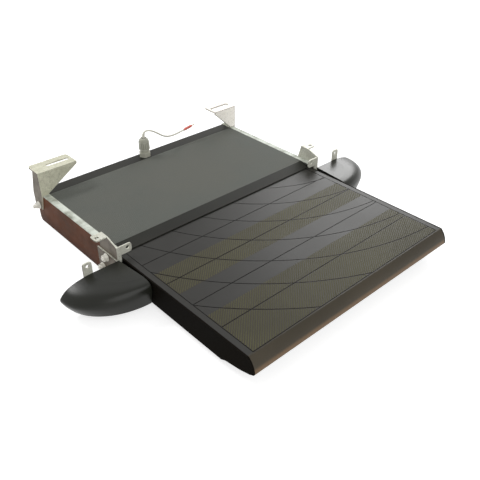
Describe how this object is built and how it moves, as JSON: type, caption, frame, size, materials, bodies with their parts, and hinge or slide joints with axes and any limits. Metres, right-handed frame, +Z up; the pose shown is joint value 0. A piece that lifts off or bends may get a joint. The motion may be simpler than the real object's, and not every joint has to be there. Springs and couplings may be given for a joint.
{
  "type": "pull out step",
  "caption": "Motor driven pull out step for a caravan doorway, its tread extended from a flat housing.",
  "frame": {"origin": "below the middle of the whole step, tread out and cable aside, on the plane of the housing's underside", "axes": "+X across the step to its right, +Y from the tread to the housing's rear, +Z up"},
  "size_m": [0.8252, 0.712, 0.1417],
  "materials": {
    "zinc": "galvanised, dull",
    "frame_steel": "dark coated",
    "cover_sheet": "satin",
    "mat": "ribbed, matt",
    "black_rubber": "matt",
    "extrusion": "mill finish",
    "nylon": "moulded",
    "fastener_steel": "zinc plated",
    "wing_plastic": "moulded, satin",
    "tread_sheet": "dark, fine grip pattern",
    "tread_trim": "moulded",
    "nose_trim": "moulded, satin",
    "gear_steel": "machined",
    "bronze": "sintered",
    "motor_steel": "satin",
    "gland_plastic": "moulded",
    "cable_sheath": "satin",
    "red_sleeve": "heat shrunk",
    "bare_tip": "bare wire ends"
  },
  "bodies": {
    "housing": {"left_side_rail": "zinc", "right_side_rail": "zinc", "left_front_bracket": "zinc", "right_front_bracket": "zinc", "left_rear_bracket": "zinc", "right_rear_bracket": "zinc", "left_wing_bracket": "zinc", "right_wing_bracket": "zinc", "front_crossmember": "frame_steel", "middle_crossmember": "frame_steel", "rear_crossmember": "frame_steel", "motor_mount": "frame_steel", "motor_clamp": "frame_steel", "cover": "cover_sheet", "cover_mat": "mat", "wiper_seal": "black_rubber", "stop_buffers": "black_rubber", "gland_seal": "black_rubber", "left_guide_rail": "extrusion", "right_guide_rail": "extrusion", "side_pads": "nylon", "bearing_blocks": "nylon", "position_sensors": "nylon", "bracket_bolts": "fastener_steel", "frame_bolts": "fastener_steel", "wing_screws": "fastener_steel", "front_roller_pins": "fastener_steel", "left_wing": "wing_plastic", "right_wing": "wing_plastic", "shaft_bushes": "bronze", "motor_can": "motor_steel", "gearbox_case": "motor_steel", "gland_body": "gland_plastic", "gland_nut": "gland_plastic", "cable": "cable_sheath", "inner_lead": "cable_sheath", "cable_sleeve": "red_sleeve", "cable_tip": "bare_tip"},
    "tread": {"tread_deck": "tread_sheet", "tread_nosing": "nose_trim", "left_skirt": "tread_trim", "right_skirt": "tread_trim", "tread_stiffeners": "frame_steel", "left_arm": "frame_steel", "right_arm": "frame_steel", "left_rack": "gear_steel", "right_rack": "gear_steel", "arm_screws": "fastener_steel", "rear_roller_pins": "fastener_steel", "magnet": "gear_steel"},
    "cross_shaft": {"drive_shaft": "gear_steel", "left_pinion": "gear_steel", "right_pinion": "gear_steel", "shaft_gear": "gear_steel"},
    "motor_output": {"output_shaft": "gear_steel", "motor_gear": "gear_steel"},
    "left_front_roller": {"left_front_roller": "nylon"},
    "left_rear_roller": {"left_rear_roller": "nylon"},
    "right_front_roller": {"right_front_roller": "nylon"},
    "right_rear_roller": {"right_rear_roller": "nylon"}
  },
  "joints": [
    {"name": "tread_slide", "type": "slide", "parent": "housing", "child": "tread", "axis": [0, 1, 0], "range_m": [0, 0.246]},
    {"name": "cross_shaft_spin", "type": "hinge", "parent": "housing", "child": "cross_shaft", "pos_m": [0, 0.056, 0.02], "axis": [-1, 0, 0], "range_deg": [-2, 883]},
    {"name": "motor_output_spin", "type": "hinge", "parent": "housing", "child": "motor_output", "pos_m": [0, 0.08389, 0.0225], "axis": [1, 0, 0], "range_deg": [-2, 1177]},
    {"name": "left_front_roller_spin", "type": "hinge", "parent": "housing", "child": "left_front_roller", "pos_m": [0, 0.034, 0.029], "axis": [-1, 0, 0], "range_deg": [-2, 1260]},
    {"name": "left_rear_roller_spin", "type": "hinge", "parent": "tread", "child": "left_rear_roller", "pos_m": [0, 0.077, 0.029], "axis": [-1, 0, 0], "range_deg": [-2, 967]},
    {"name": "right_front_roller_spin", "type": "hinge", "parent": "housing", "child": "right_front_roller", "pos_m": [0, 0.034, 0.029], "axis": [-1, 0, 0], "range_deg": [-2, 1260]},
    {"name": "right_rear_roller_spin", "type": "hinge", "parent": "tread", "child": "right_rear_roller", "pos_m": [0, 0.077, 0.029], "axis": [-1, 0, 0], "range_deg": [-2, 967]}
  ],
  "couplings": [
    {"joint": "cross_shaft_spin", "follows": "tread_slide", "rad_per_m": 62.5},
    {"joint": "motor_output_spin", "follows": "tread_slide", "rad_per_m": 83.333},
    {"joint": "left_front_roller_spin", "follows": "tread_slide", "rad_per_m": 89.286},
    {"joint": "left_rear_roller_spin", "follows": "tread_slide", "rad_per_m": 68.493},
    {"joint": "right_front_roller_spin", "follows": "tread_slide", "rad_per_m": 89.286},
    {"joint": "right_rear_roller_spin", "follows": "tread_slide", "rad_per_m": 68.493}
  ]
}
